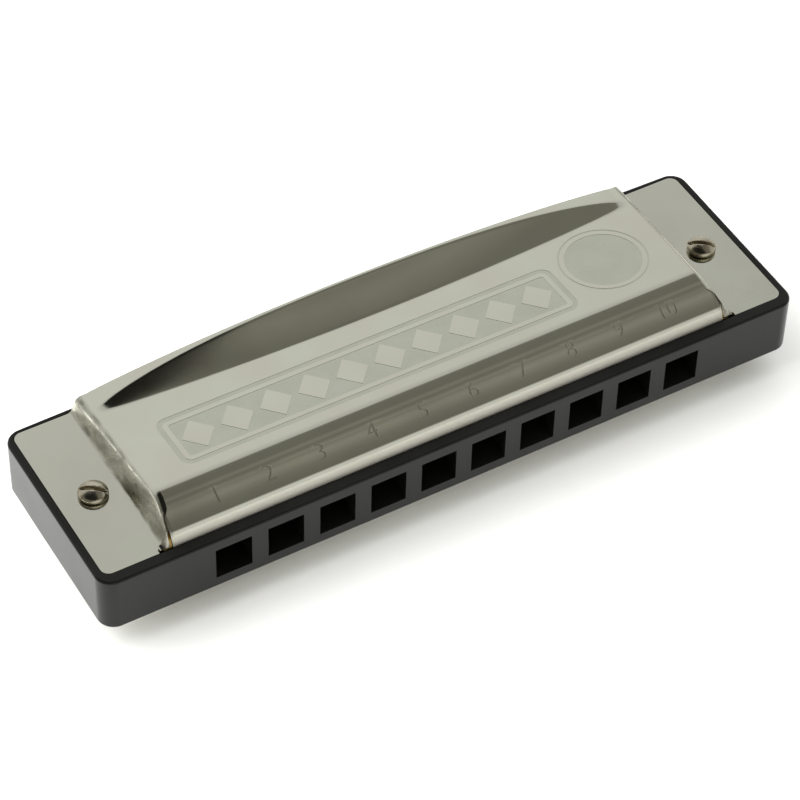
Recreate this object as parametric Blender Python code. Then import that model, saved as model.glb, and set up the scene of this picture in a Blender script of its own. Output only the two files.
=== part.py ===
"""Ten-hole diatonic harmonica with recessed reed plates.

Metres, +Z up. X runs along the holes with hole 1 at -X, and the mouth edge faces -Y.
The origin lies on the table, under the middle of the comb.
Heights are first worked out from the comb's middle plane and then lifted by MID_Z.
"""
import math

import bmesh
import bpy
from mathutils import Matrix, Vector

MM = 0.001

# Comb: the moulded body that holds everything
HOLES = 10
HOLE_PITCH = 7.35 * MM
HOLE_WIDTH = 5.06 * MM
HOLE_ROOF = 0.36 * MM          # plastic between a mouth hole and the plate's seat
END_BLOCK = 15.4 * MM          # from the outer wall of hole 1 or 10 to the comb's end
COMB_DEPTH = 29.2 * MM
COMB_HEIGHT = 8.56 * MM
REAR_BOW = 0.5 * MM            # the rear edge is a shallow arc, this much further out in the middle
CORNER_RADIUS = 2.3 * MM
COMB_EDGE = 0.3 * MM           # rounding of the comb's top and bottom edges
BOW_SPANS = 16                 # facets of the rear edge's arc
FRONT_RAIL = 1.6 * MM          # comb edge left in front of the covers
FRONT_SEAT = 2.6 * MM          # ledge behind the rail, under the front of the plate
REAR_RIM = 0.55 * MM           # comb edge left behind the covers, at the corners
END_RIM = 1.0 * MM
REAR_WALL = 5.0 * MM           # comb behind the longest chamber
CHAMBER_DRAFT = 0.07 * MM      # a chamber is this much wider than its hole, on each side
CHAMBER_FILLET = 0.8 * MM

# Sheet and plates
PLATE_THICKNESS = 0.9 * MM
SHEET = 0.35 * MM
TAB_SINK = 0.03 * MM           # the tabs lie this much below the comb's rim
SEAT_GAP = 0.05 * MM           # between faces that rest on each other
SIDE_GAP = 0.1 * MM            # between a sunk piece and the wall round it
TAB_CORNER = 1.2 * MM

# Covers: outer faces, heights counted from the comb's face
BOX_MARGIN = 6.0 * MM          # from the outer wall of hole 1 or 10 to the foot of the end wall
WALL_LEAN = 0.4                # the end walls lean inwards by this much for each unit of height
FOOT_RADIUS = 0.5 * MM
CROWN_RADIUS = 0.7 * MM
LIP_RISE = 2.0 * MM            # top of the upright front lip
LIP_RADIUS = 0.5 * MM
CREASE_RISE = 4.12 * MM        # where the front slope meets the top
CREASE_SETBACK = 5.2 * MM      # from the lip's face back to that crease
CREASE_RADIUS = 2.4 * MM
REAR_RISE = 2.35 * MM          # top of the box at its rear corners
ARCH_RISE = 2.5 * MM           # how far the rear edge arches up in the middle
FLARE_DEPTH = 5.7 * MM         # from the arch's fold to the rear edge, in the middle
FLARE_BOW = 1.5 * MM           # the fold runs this much nearer the rear edge at its tips
FLARE_SLOPE = 0.44             # rise for each unit of depth, over the sloping top
FLARE_INSET = 2.2 * MM         # from the foot of the end wall to the tip of the fold
FLARE_RIM = 0.4 * MM           # level rim left behind the flare in the middle
ARC_STEPS = 3                  # facets of each bend
LIP_ROWS = ARC_STEPS + 1
WALL_COLUMNS = 2 * ARC_STEPS + 4   # tab, foot and end wall, up to the edge of the top
TOP_SPANS = 18

# Reeds and rivets: notes are semitones over the lowest one
REED_HALVING = 42.0            # semitones over which a reed's length halves
BLOW_NOTES = (0, 4, 7, 12, 16, 19, 24, 28, 31, 36)
DRAW_NOTES = (2, 7, 11, 14, 17, 21, 23, 26, 29, 33)
REED_WIDTH = 2.1 * MM
REED_THICKNESS = 0.2 * MM
HEEL_WIDTH = 2.9 * MM
HEEL_LENGTH = 2.9 * MM
HEEL_INSET = 0.3 * MM          # from the chamber's front wall to the heel
ROOT_TAPER = 0.5 * MM          # the heel narrows to the tongue over this length
REED_OFFSET = 0.25 * MM        # between a reed and its plate
RIVET_OFFSET = 0.22 * MM       # between a reed's heel and its rivet's head
SLOT_SIDE = 0.1 * MM
SLOT_TIP = 0.25 * MM
CHAMBER_TIP = 1.6 * MM         # from a reed's tip to the chamber's rear wall
RIVET_RADIUS = 0.5 * MM
RIVET_HEAD_RADIUS = 0.9 * MM
RIVET_HEAD = 0.3 * MM
RIVET_UPSET_RADIUS = 0.7 * MM
RIVET_UPSET = 0.15 * MM
RIVET_SETBACK = 1.4 * MM       # from the heel's front edge to the rivet
REED_HOLE_GAP = 0.17 * MM      # radial, round the rivet in the heel that rocks
PLATE_HOLE_GAP = 0.06 * MM     # radial, round the rivet in the plate

# Screws and nuts
COVER_SCREW_RADIUS = 1.0 * MM
COVER_SCREW_HEAD_RADIUS = 1.95 * MM
COVER_SCREW_HEAD_WALL = 0.4 * MM
COVER_SCREW_HEAD = 1.3 * MM
COVER_SCREW_SLOT = 0.55 * MM
COVER_SCREW_SLOT_DEPTH = 0.6 * MM
COVER_SCREW_HOLE_GAP = 0.15 * MM
COVER_SCREW_TAIL = 0.25 * MM
COVER_SCREW_INWARD = 0.5 * MM  # from the middle of the tab towards the box
COVER_SCREW_FORWARD = 0.7 * MM     # from the middle of the tab towards the mouth edge
COVER_SCREW_TURN = -35.0       # degrees from X to the slot
NUT_FLATS = 4.0 * MM
NUT_HEIGHT = 1.4 * MM
NUT_BORE_GAP = 0.06 * MM
PLATE_SCREW_RADIUS = 0.45 * MM
PLATE_SCREW_HEAD_RADIUS = 1.05 * MM
PLATE_SCREW_HEAD = 0.5 * MM
PLATE_SCREW_LENGTH = 1.6 * MM  # below the plate
PLATE_SCREW_SLOT = 0.3 * MM
PLATE_SCREW_GAP = 0.1 * MM
PLATE_SCREW_END_GAP = 0.2 * MM
PLATE_SCREW_FRONT_WALLS = (2, 8)   # front screws stand in the walls after these holes
PLATE_SCREW_INSET = 6.6 * MM   # from the foot of the end wall to the outer rear screws
HEAD_FLAT = 0.8                # flat share of the radius of a small head or an upset end
DOME_STEPS = 5
RIVET_SIDES = 10
SMALL_SIDES = 12
BORE_SIDES = 16
SCREW_SIDES = 20

# Worked out from the sizes above
HOLE_SPAN = (HOLES - 1) * HOLE_PITCH + HOLE_WIDTH
COMB_LENGTH = HOLE_SPAN + 2 * END_BLOCK
COMB_FACE = COMB_HEIGHT / 2
RECESS_FLOOR = COMB_FACE - (TAB_SINK + SHEET + PLATE_THICKNESS + 2 * SEAT_GAP)
PLATE_INNER = RECESS_FLOOR + SEAT_GAP
PLATE_OUTER = PLATE_INNER + PLATE_THICKNESS
HOLE_HEIGHT = 2 * (RECESS_FLOOR - HOLE_ROOF)
FRONT_Y = -COMB_DEPTH / 2
REAR_Y = COMB_DEPTH / 2
RECESS_FRONT = FRONT_Y + FRONT_RAIL
RECESS_REAR = REAR_Y - REAR_BOW - REAR_RIM
RECESS_HALF = COMB_LENGTH / 2 - END_RIM
LIP_Y = RECESS_FRONT + SIDE_GAP
COVER_REAR = RECESS_REAR - SIDE_GAP
TAB_END = RECESS_HALF - SIDE_GAP
FOOT_X = HOLE_SPAN / 2 + BOX_MARGIN
SCREW_X = (FOOT_X + TAB_END) / 2 - COVER_SCREW_INWARD
SCREW_Y = (LIP_Y + COVER_REAR) / 2 - COVER_SCREW_FORWARD
PLATE_HALF = RECESS_HALF - 2 * SIDE_GAP
PLATE_FRONT = LIP_Y + SHEET + SIDE_GAP
CHAMBER_FRONT = RECESS_FRONT + FRONT_SEAT
HEEL_FRONT = CHAMBER_FRONT + HEEL_INSET
ROOT_Y = HEEL_FRONT + HEEL_LENGTH
RIVET_Y = HEEL_FRONT + RIVET_SETBACK
LONGEST_REED = REAR_Y - REAR_WALL - CHAMBER_TIP - ROOT_Y
CREASE_Y = LIP_Y + CREASE_SETBACK
TOP_FALL = (CREASE_RISE - REAR_RISE) / (COVER_REAR - CREASE_Y)
MID_Z = COMB_FACE + REAR_RISE + ARCH_RISE

BLACK_ABS = ("black_abs", (0.012, 0.012, 0.010), 0.22, 0.0)
STAINLESS = ("stainless_steel", (0.56, 0.56, 0.50), 0.2, 1.0)
NICKEL = ("nickel_plate", (0.52, 0.49, 0.42), 0.25, 1.0)
BRASS = ("reed_plate_brass", (0.70, 0.52, 0.24), 0.3, 1.0)
REED_BRASS = ("reed_bronze", (0.72, 0.50, 0.28), 0.28, 1.0)


def hole_x(hole):
    """Middle of a hole, counted from 1."""
    return (hole - (HOLES + 1) / 2) * HOLE_PITCH


def wall_x(hole):
    """Middle of the wall after a hole."""
    return hole_x(hole) + HOLE_PITCH / 2


def reed_length(note):
    """Free length of a tongue: it halves every REED_HALVING semitones."""
    return LONGEST_REED * 2 ** (-note / REED_HALVING)


def chamber_rear(hole):
    """Rear wall of a chamber, behind the longer of its two reeds."""
    note = min(BLOW_NOTES[hole - 1], DRAW_NOTES[hole - 1])
    return ROOT_Y + reed_length(note) + CHAMBER_TIP


def rounded(points, radii, steps):
    """A polyline whose inner corners become arcs of the given radii."""
    line = [points[0]]
    for before, corner, after, radius in zip(points, points[1:], points[2:], radii):
        a = (before - corner).normalized()
        b = (after - corner).normalized()
        half = a.angle(b) / 2
        reach = radius / math.tan(half)
        centre = corner + (a + b).normalized() * (radius / math.sin(half))
        start = corner + a * reach - centre
        stop = corner + b * reach - centre
        turn = math.pi - 2 * half
        for step in range(steps + 1):
            part = step / steps
            arc = (start * math.sin((1 - part) * turn) + stop * math.sin(part * turn)) / math.sin(turn)
            line.append(centre + arc)
    line.append(points[-1])
    return line


def rounded_rectangle(half_x, front, rear, radius, steps, bow=0.0):
    """Outline of a plate with round corners, and a rear edge that bows out by bow in the middle."""
    outline = []
    corners = ((-1, front, 180), (1, front, 270), (1, rear - bow, 0), (-1, rear - bow, 90))
    for side, y, first in corners:
        inward = 1 if y == front else -1
        for step in range(steps + 1):
            angle = math.radians(first + 90 * step / steps)
            x = side * (half_x - radius) + radius * math.cos(angle)
            outline.append(Vector((x, y + inward * radius + radius * math.sin(angle), 0)))
        if bow and side == 1 and inward == -1:
            reach = half_x - radius
            for step in range(1, BOW_SPANS):
                x = reach * (1 - 2 * step / BOW_SPANS)
                outline.append(Vector((x, rear - bow * (x / reach) ** 2, 0)))
    return outline


def material(finish):
    """Principled material of the given name, colour, roughness and metallic value."""
    name, colour, roughness, metallic = finish
    found = bpy.data.materials.get(name)
    if found:
        return found
    made = bpy.data.materials.new(name)
    made.use_nodes = True
    shader = made.node_tree.nodes["Principled BSDF"]
    shader.inputs["Base Color"].default_value = (*colour, 1.0)
    shader.inputs["Roughness"].default_value = roughness
    shader.inputs["Metallic"].default_value = metallic
    return made


def add_object(name, bm, place, finish, smooth=False):
    """Turn a bmesh into an object of the scene at a place counted from the middle plane."""
    bmesh.ops.recalc_face_normals(bm, faces=bm.faces[:])
    mesh = bpy.data.meshes.new(name)
    bm.to_mesh(mesh)
    bm.free()
    mesh.materials.append(material(finish))
    if smooth:
        mesh.shade_smooth()
        mesh.set_sharp_from_angle(angle=math.radians(35))
    made = bpy.data.objects.new(name, mesh)
    made.location = Vector(place) + Vector((0, 0, MID_Z))
    bpy.context.scene.collection.objects.link(made)
    return made


def add_copy(name, source, place):
    """A further object on the same mesh."""
    made = bpy.data.objects.new(name, source.data)
    made.location = Vector(place) + Vector((0, 0, MID_Z))
    bpy.context.scene.collection.objects.link(made)
    return made


def add_cutter(name, bm, place=(0, 0, 0)):
    """A guide that is only cut away from other pieces."""
    made = add_object(name, bm, place, BLACK_ABS)
    made.hide_render = True
    made.display_type = "WIRE"
    return made


def cut(target, cutter):
    boolean = target.modifiers.new(cutter.name, "BOOLEAN")
    boolean.operation = "DIFFERENCE"
    boolean.solver = "EXACT"
    boolean.object = cutter


def put_box(bm, low, high, fillet=0.0):
    """Add a box between two corners, with its upright edges rounded by fillet."""
    low = Vector(low)
    high = Vector(high)
    size = high - low
    cube = bmesh.ops.create_cube(bm, size=1.0)["verts"]
    bmesh.ops.scale(bm, vec=size, verts=cube)
    bmesh.ops.translate(bm, vec=(low + high) / 2, verts=cube)
    if fillet:
        edges = {edge for vert in cube for edge in vert.link_edges}
        upright = [edge for edge in edges if abs(edge.verts[0].co.z - edge.verts[1].co.z) > size.z / 2]
        bmesh.ops.bevel(bm, geom=upright, offset=fillet, segments=2, profile=0.5,
                        affect="EDGES", material=-1)


def put_rod(bm, x, y, low, high, radius, sides=SMALL_SIDES):
    """Add an upright cylinder."""
    place = Matrix.Translation((x, y, (low + high) / 2))
    bmesh.ops.create_cone(bm, cap_ends=True, segments=sides, radius1=radius, radius2=radius,
                          depth=high - low, matrix=place)


def extruded(outline, low, high):
    """A closed slab over an outline."""
    bm = bmesh.new()
    face = bm.faces.new([bm.verts.new((point.x, point.y, low)) for point in outline])
    lifted = bmesh.ops.extrude_face_region(bm, geom=[face])["geom"]
    moved = [item for item in lifted if isinstance(item, bmesh.types.BMVert)]
    bmesh.ops.translate(bm, vec=(0, 0, high - low), verts=moved)
    bmesh.ops.recalc_face_normals(bm, faces=bm.faces[:])
    return bm


def turned(profile, sides):
    """A solid of revolution about Z from (radius, height) points that start and end on the axis."""
    bm = bmesh.new()
    verts = [bm.verts.new((radius, 0, height)) for radius, height in profile]
    edges = [bm.edges.new(pair) for pair in zip(verts, verts[1:])]
    bmesh.ops.spin(bm, geom=verts + edges, cent=(0, 0, 0), axis=(0, 0, 1), angle=2 * math.pi,
                   steps=sides, use_merge=True)
    bmesh.ops.remove_doubles(bm, verts=bm.verts[:], dist=0.001 * MM)
    return bm


def make_comb(screw_cutter):
    """Moulded body: sunk seats above and below, ten chambers, ten square mouth holes."""
    outline = rounded_rectangle(COMB_LENGTH / 2, FRONT_Y, REAR_Y, CORNER_RADIUS, 5, REAR_BOW)
    body = extruded(outline, -COMB_FACE, COMB_FACE)
    rims = [edge for edge in body.edges if edge.verts[0].co.z * edge.verts[1].co.z > 0]
    bmesh.ops.bevel(body, geom=rims, offset=COMB_EDGE, segments=2, profile=0.5,
                    affect="EDGES", material=-1)
    comb = add_object("comb", body, (0, 0, 0), BLACK_ABS, smooth=True)

    corner = TAB_CORNER + SIDE_GAP
    for name, side in (("upper_recess", 1), ("lower_recess", -1)):
        heights = sorted((side * RECESS_FLOOR, side * COMB_HEIGHT))
        seat = rounded_rectangle(RECESS_HALF, RECESS_FRONT, RECESS_REAR, corner, 4)
        cut(comb, add_cutter(name + "_cutter", extruded(seat, *heights)))

    chambers = bmesh.new()
    mouths = bmesh.new()
    for hole in range(1, HOLES + 1):
        middle = hole_x(hole)
        half = HOLE_WIDTH / 2 + CHAMBER_DRAFT
        put_box(chambers, (middle - half, CHAMBER_FRONT, -COMB_HEIGHT),
                (middle + half, chamber_rear(hole), COMB_HEIGHT), CHAMBER_FILLET)
        put_box(mouths, (middle - HOLE_WIDTH / 2, FRONT_Y - HOLE_WIDTH, -HOLE_HEIGHT / 2),
                (middle + HOLE_WIDTH / 2, CHAMBER_FRONT + CHAMBER_FILLET, HOLE_HEIGHT / 2))
    cut(comb, add_cutter("chamber_cutter", chambers))
    cut(comb, add_cutter("mouth_hole_cutter", mouths))

    pilots = bmesh.new()
    depth = RECESS_FLOOR - PLATE_SCREW_LENGTH - PLATE_SCREW_END_GAP
    for x, y in plate_screw_places():
        for low, high in ((depth, COMB_HEIGHT), (-COMB_HEIGHT, -depth)):
            put_rod(pilots, x, y, low, high, PLATE_SCREW_RADIUS + PLATE_SCREW_GAP)
    cut(comb, add_cutter("pilot_hole_cutter", pilots))
    cut(comb, screw_cutter)


def plate_screw_places():
    """Two screws in chamber walls at the front, and three along the rear."""
    front = (PLATE_FRONT + CHAMBER_FRONT) / 2
    rear = RECESS_REAR - PLATE_SCREW_HEAD_RADIUS - 2 * SIDE_GAP
    places = [(wall_x(hole), front) for hole in PLATE_SCREW_FRONT_WALLS]
    places += [(side * (FOOT_X - PLATE_SCREW_INSET), rear) for side in (-1, 0, 1)]
    return places


def make_reed_plate(name, notes, low, screw_cutter):
    """Brass plate with one slot and one rivet hole for each reed."""
    high = low + PLATE_THICKNESS
    body = bmesh.new()
    put_box(body, (-PLATE_HALF, PLATE_FRONT, low), (PLATE_HALF, COVER_REAR - SIDE_GAP, high), TAB_CORNER)
    plate = add_object(name, body, (0, 0, 0), BRASS)

    openings = bmesh.new()
    for hole, note in enumerate(notes, 1):
        half = REED_WIDTH / 2 + SLOT_SIDE
        middle = hole_x(hole)
        tip = ROOT_Y + reed_length(note) + SLOT_TIP
        put_box(openings, (middle - half, ROOT_Y + ROOT_TAPER, low - PLATE_THICKNESS),
                (middle + half, tip, high + PLATE_THICKNESS))
        put_rod(openings, middle, RIVET_Y, low - PLATE_THICKNESS, high + PLATE_THICKNESS,
                RIVET_RADIUS + PLATE_HOLE_GAP)
    for x, y in plate_screw_places():
        put_rod(openings, x, y, low - PLATE_THICKNESS, high + PLATE_THICKNESS,
                PLATE_SCREW_RADIUS + PLATE_SCREW_GAP)
    cut(plate, add_cutter(name + "_cutter", openings))
    cut(plate, screw_cutter)


def make_reeds(kind, notes, plate_low):
    """Ten reeds under their plate: each is a wide heel and a tongue, hinged where the two meet."""
    height = plate_low - REED_OFFSET - REED_THICKNESS / 2
    rivet_holes = bmesh.new()
    for hole in range(1, HOLES + 1):
        put_rod(rivet_holes, hole_x(hole), RIVET_Y, height - REED_THICKNESS, height + REED_THICKNESS,
                RIVET_RADIUS + REED_HOLE_GAP)
    cutter = add_cutter(kind + "_reed_hole_cutter", rivet_holes)
    for hole, note in enumerate(notes, 1):
        tip = reed_length(note)
        right = [(HEEL_WIDTH / 2, -HEEL_LENGTH), (HEEL_WIDTH / 2, 0), (REED_WIDTH / 2, ROOT_TAPER),
                 (REED_WIDTH / 2, tip)]
        left = [(-x, y) for x, y in reversed(right)]
        outline = [Vector((x, y, 0)) for x, y in right + left]
        bm = extruded(outline, -REED_THICKNESS / 2, REED_THICKNESS / 2)
        reed = add_object(f"{kind}_reed_{hole}", bm, (hole_x(hole), ROOT_Y, height), REED_BRASS)
        cut(reed, cutter)


def make_rivets(kind, plate_low):
    """One rivet through each heel and the plate: head under the reed, upset end over the plate."""
    top = PLATE_THICKNESS + SEAT_GAP
    head = -(REED_OFFSET + REED_THICKNESS + RIVET_OFFSET)
    profile = [(0, top + RIVET_UPSET), (RIVET_UPSET_RADIUS * HEAD_FLAT, top + RIVET_UPSET),
               (RIVET_UPSET_RADIUS, top), (RIVET_RADIUS, top), (RIVET_RADIUS, head),
               (RIVET_HEAD_RADIUS, head), (RIVET_HEAD_RADIUS * HEAD_FLAT, head - RIVET_HEAD),
               (0, head - RIVET_HEAD)]
    first = None
    for hole in range(1, HOLES + 1):
        name = f"{kind}_rivet_{hole}"
        place = (hole_x(hole), RIVET_Y, plate_low)
        if first is None:
            first = add_object(name, turned(profile, RIVET_SIDES), place, REED_BRASS, smooth=True)
        else:
            add_copy(name, first, place)


def make_plate_screws(kind, side):
    """Small slotted screws with their heads on the outer face of a plate."""
    head = PLATE_OUTER + SEAT_GAP
    profile = [(0, head + PLATE_SCREW_HEAD),
               (PLATE_SCREW_HEAD_RADIUS * HEAD_FLAT, head + PLATE_SCREW_HEAD),
               (PLATE_SCREW_HEAD_RADIUS, head + PLATE_SCREW_HEAD / 2), (PLATE_SCREW_HEAD_RADIUS, head),
               (PLATE_SCREW_RADIUS, head), (PLATE_SCREW_RADIUS, RECESS_FLOOR - PLATE_SCREW_LENGTH),
               (0, RECESS_FLOOR - PLATE_SCREW_LENGTH)]
    slot = bmesh.new()
    reach = 2 * PLATE_SCREW_HEAD_RADIUS
    for x, y in plate_screw_places():
        put_box(slot, (x - reach, y - PLATE_SCREW_SLOT / 2, head + PLATE_SCREW_HEAD / 2),
                (x + reach, y + PLATE_SCREW_SLOT / 2, head + 2 * PLATE_SCREW_HEAD))
    if side < 0:
        bmesh.ops.rotate(slot, matrix=Matrix.Rotation(math.pi, 3, "X"), verts=slot.verts[:])
        bmesh.ops.scale(slot, vec=(1, -1, 1), verts=slot.verts[:])
    cutter = add_cutter(kind + "_plate_screw_slots", slot)
    for number, (x, y) in enumerate(plate_screw_places(), 1):
        screw = add_object(f"{kind}_plate_screw_{number}", turned(profile, SMALL_SIDES), (x, y, 0),
                           NICKEL, smooth=True)
        if side < 0:
            screw.rotation_euler = (math.pi, 0, 0)
        cut(screw, cutter)


def fold_y(x):
    """Where the arch's fold crosses the cover, nearer the rear edge towards its tips."""
    tip = FOOT_X - FLARE_INSET
    share = min(abs(x) / tip, 1.0)
    return COVER_REAR - FLARE_DEPTH + FLARE_BOW * share ** 2


def arch_rise(x):
    """How far the rear edge stands over the sloping top."""
    share = min(abs(x) / (FOOT_X - FLARE_INSET), 1.0)
    return ARCH_RISE * (1 - share ** 2)


def top_rise(y):
    """Height of the sloping top over the comb's face."""
    return CREASE_RISE - TOP_FALL * (y - CREASE_Y)


def front_profile():
    """(y, rise) points from the lip's lower edge over the front slope to the sloping top.

    The first LIP_ROWS points belong to the lip alone, and the next one is the tabs' front edge.
    """
    lowest = RECESS_FLOOR + 2 * SEAT_GAP - COMB_FACE
    level = (fold_y(0) + CREASE_Y) / 2
    corners = [Vector((LIP_Y, lowest)), Vector((LIP_Y, LIP_RISE)),
               Vector((CREASE_Y, CREASE_RISE)), Vector((level, top_rise(level)))]
    return rounded(corners, (LIP_RADIUS, CREASE_RADIUS), ARC_STEPS)


def cover_row(y, rise):
    """Outer face of the cover across X at one depth: tab, foot, leaning wall, crown, top."""
    crown_x = FOOT_X - WALL_LEAN * (rise + TAB_SINK)
    corners = [Vector((-TAB_END, -TAB_SINK)), Vector((-FOOT_X, -TAB_SINK)),
               Vector((-crown_x, rise)), Vector((0, rise))]
    edge = rounded(corners, (FOOT_RADIUS, CROWN_RADIUS), ARC_STEPS)[:-1]
    inner = -edge[-1].x
    level = [Vector((inner * (2 * step / TOP_SPANS - 1), rise)) for step in range(1, TOP_SPANS)]
    tab = [edge[0], edge[0] + Vector((TAB_CORNER / 4, 0)), edge[0] + Vector((TAB_CORNER, 0))]
    left = tab + edge[1:]
    right = [Vector((-point.x, point.y)) for point in reversed(left)]
    return [Vector((point.x, y, point.y)) for point in left + level + right]


def round_tab_corner(point):
    """Pull a point that lies outside the tab's round corners back onto them."""
    for y, inward in ((front_profile()[LIP_ROWS].x, 1), (COVER_REAR, -1)):
        centre = Vector((math.copysign(TAB_END - TAB_CORNER, point.x), y + inward * TAB_CORNER))
        away = Vector((point.x, point.y)) - centre
        outside = abs(point.x) > abs(centre.x) and away.y * inward < 0
        if outside and away.length > TAB_CORNER:
            away.length = TAB_CORNER
            point.x = centre.x + away.x
            point.y = centre.y + away.y


def make_cover(name, upper, screw_cutter):
    """Pressed sheet: a box with a lip in front, an arched rear edge and a tab at each end."""
    profile = front_profile()
    rows = [cover_row(y, rise) for y, rise in profile]
    rows += [cover_row(COVER_REAR, top_rise(COVER_REAR)) for _ in range(4)]
    flare = rows[len(profile):]
    for row, share in zip(flare, (0.0, 0.5, 1.0)):
        for point in row:
            start = fold_y(point.x)
            reach = min(arch_rise(point.x) / FLARE_SLOPE, COVER_REAR - FLARE_RIM - start)
            point.y = start + share * max(reach, FLARE_RIM)
    for row in flare:
        for point in row:
            if abs(point.x) < FOOT_X - FLARE_INSET:
                lift = FLARE_SLOPE * max(point.y - fold_y(point.x), 0)
                point.z = top_rise(point.y) + min(lift, arch_rise(point.x))
    columns = len(rows[0])
    bm = bmesh.new()
    grid = []
    for number, row in enumerate(rows):
        line = []
        for column, point in enumerate(row):
            outer = column < WALL_COLUMNS or column >= columns - WALL_COLUMNS
            if outer and number < LIP_ROWS:
                line.append(None)
                continue
            if outer:
                round_tab_corner(point)
            line.append(bm.verts.new((point.x, point.y, point.z + COMB_FACE)))
        grid.append(line)
    for low, high in zip(grid, grid[1:]):
        for corner in range(columns - 1):
            loop = (low[corner], low[corner + 1], high[corner + 1], high[corner])
            if None not in loop:
                bm.faces.new(loop)
    cover = add_object(name, bm, (0, 0, 0), STAINLESS, smooth=True)
    if not upper:
        cover.rotation_euler = (0, math.pi, 0)
    wall = cover.modifiers.new("sheet", "SOLIDIFY")
    wall.thickness = SHEET
    wall.offset = -1
    wall.use_even_offset = True
    cut(cover, screw_cutter)


def make_cover_screws():
    """Slotted screws that clamp both covers and both plates to the comb."""
    head = COMB_FACE - TAB_SINK + SEAT_GAP
    wall = COVER_SCREW_HEAD_WALL
    tail = -(COMB_FACE + SEAT_GAP + NUT_HEIGHT + COVER_SCREW_TAIL)
    crown = COVER_SCREW_HEAD - wall
    dome = []
    for step in range(DOME_STEPS + 1):
        angle = math.pi / 2 * step / DOME_STEPS
        dome.append((COVER_SCREW_HEAD_RADIUS * math.sin(angle), head + wall + crown * math.cos(angle)))
    profile = dome + [(COVER_SCREW_HEAD_RADIUS, head), (COVER_SCREW_RADIUS, head),
                      (COVER_SCREW_RADIUS, tail), (0, tail)]
    reach = 2 * COVER_SCREW_HEAD_RADIUS
    top = head + COVER_SCREW_HEAD
    for name, side in (("left", -1), ("right", 1)):
        place = (side * SCREW_X, SCREW_Y, 0)
        screw = add_object("cover_screw_" + name, turned(profile, SCREW_SIDES), place, NICKEL,
                           smooth=True)
        slot = bmesh.new()
        put_box(slot, (-reach, -COVER_SCREW_SLOT / 2, top - COVER_SCREW_SLOT_DEPTH),
                (reach, COVER_SCREW_SLOT / 2, top + COVER_SCREW_HEAD))
        cutter = add_cutter("cover_screw_slot_" + name, slot, place)
        cutter.rotation_euler = (0, 0, math.radians(COVER_SCREW_TURN))
        cut(screw, cutter)


def make_cover_nuts():
    """Hexagon nuts under the lower cover's tabs."""
    top = -(COMB_FACE - TAB_SINK + SEAT_GAP)
    bore = bmesh.new()
    for side in (-1, 1):
        put_rod(bore, side * SCREW_X, SCREW_Y, top - 2 * NUT_HEIGHT, top + NUT_HEIGHT,
                COVER_SCREW_RADIUS + NUT_BORE_GAP, BORE_SIDES)
    cutter = add_cutter("nut_bore_cutter", bore)
    for name, side in (("cover_nut_left", -1), ("cover_nut_right", 1)):
        body = bmesh.new()
        put_rod(body, 0, 0, top - NUT_HEIGHT, top, NUT_FLATS / math.sqrt(3), 6)
        nut = add_object(name, body, (side * SCREW_X, SCREW_Y, 0), NICKEL)
        cut(nut, cutter)


def screw_hole_cutter():
    """Both cover screws' way through covers, plates and comb."""
    holes = bmesh.new()
    for side in (-1, 1):
        put_rod(holes, side * SCREW_X, SCREW_Y, -2 * COMB_HEIGHT, 2 * COMB_HEIGHT,
                COVER_SCREW_RADIUS + COVER_SCREW_HOLE_GAP, BORE_SIDES)
    return add_cutter("cover_screw_hole_cutter", holes)


def main():
    for old in list(bpy.data.objects):
        bpy.data.objects.remove(old, do_unlink=True)
    holes = screw_hole_cutter()
    make_comb(holes)
    lower_plate_low = -PLATE_OUTER
    make_reed_plate("upper_reed_plate", BLOW_NOTES, PLATE_INNER, holes)
    make_reed_plate("lower_reed_plate", DRAW_NOTES, lower_plate_low, holes)
    make_reeds("blow", BLOW_NOTES, PLATE_INNER)
    make_reeds("draw", DRAW_NOTES, lower_plate_low)
    make_rivets("blow", PLATE_INNER)
    make_rivets("draw", lower_plate_low)
    make_plate_screws("upper", 1)
    make_plate_screws("lower", -1)
    make_cover("upper_cover", True, holes)
    make_cover("lower_cover", False, holes)
    make_cover_screws()
    make_cover_nuts()


main()
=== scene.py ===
"""Ten-hole diatonic harmonica: finished pieces, materials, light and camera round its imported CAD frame.

Sizes are in millimetres and become metres where a mesh is placed.
X runs from hole 1 to hole 10, the mouth edge faces -Y and the upper cover faces +Z.
"""
import math

import bmesh
import bpy
from mathutils import Matrix, Vector


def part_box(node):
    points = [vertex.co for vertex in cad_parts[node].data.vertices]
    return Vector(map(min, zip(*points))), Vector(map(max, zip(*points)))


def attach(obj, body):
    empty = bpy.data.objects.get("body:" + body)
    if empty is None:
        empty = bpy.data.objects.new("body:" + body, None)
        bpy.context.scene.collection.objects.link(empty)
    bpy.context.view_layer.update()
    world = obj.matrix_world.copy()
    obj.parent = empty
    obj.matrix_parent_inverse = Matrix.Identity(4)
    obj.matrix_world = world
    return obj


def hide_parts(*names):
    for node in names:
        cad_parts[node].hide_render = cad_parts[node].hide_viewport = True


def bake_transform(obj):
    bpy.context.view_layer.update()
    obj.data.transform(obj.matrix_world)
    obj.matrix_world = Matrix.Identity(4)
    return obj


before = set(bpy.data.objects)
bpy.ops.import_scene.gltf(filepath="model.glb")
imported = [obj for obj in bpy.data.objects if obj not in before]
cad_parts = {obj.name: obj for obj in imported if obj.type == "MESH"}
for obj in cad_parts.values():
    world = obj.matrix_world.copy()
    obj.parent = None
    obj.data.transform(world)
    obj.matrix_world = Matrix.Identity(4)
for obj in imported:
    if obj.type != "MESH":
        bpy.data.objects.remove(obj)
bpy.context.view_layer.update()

MM = 0.001


def cad_box(node):
    """Lowest and highest corner of a CAD node, in millimetres."""
    low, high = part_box(node)
    return Vector(low) / MM, Vector(high) / MM


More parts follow.
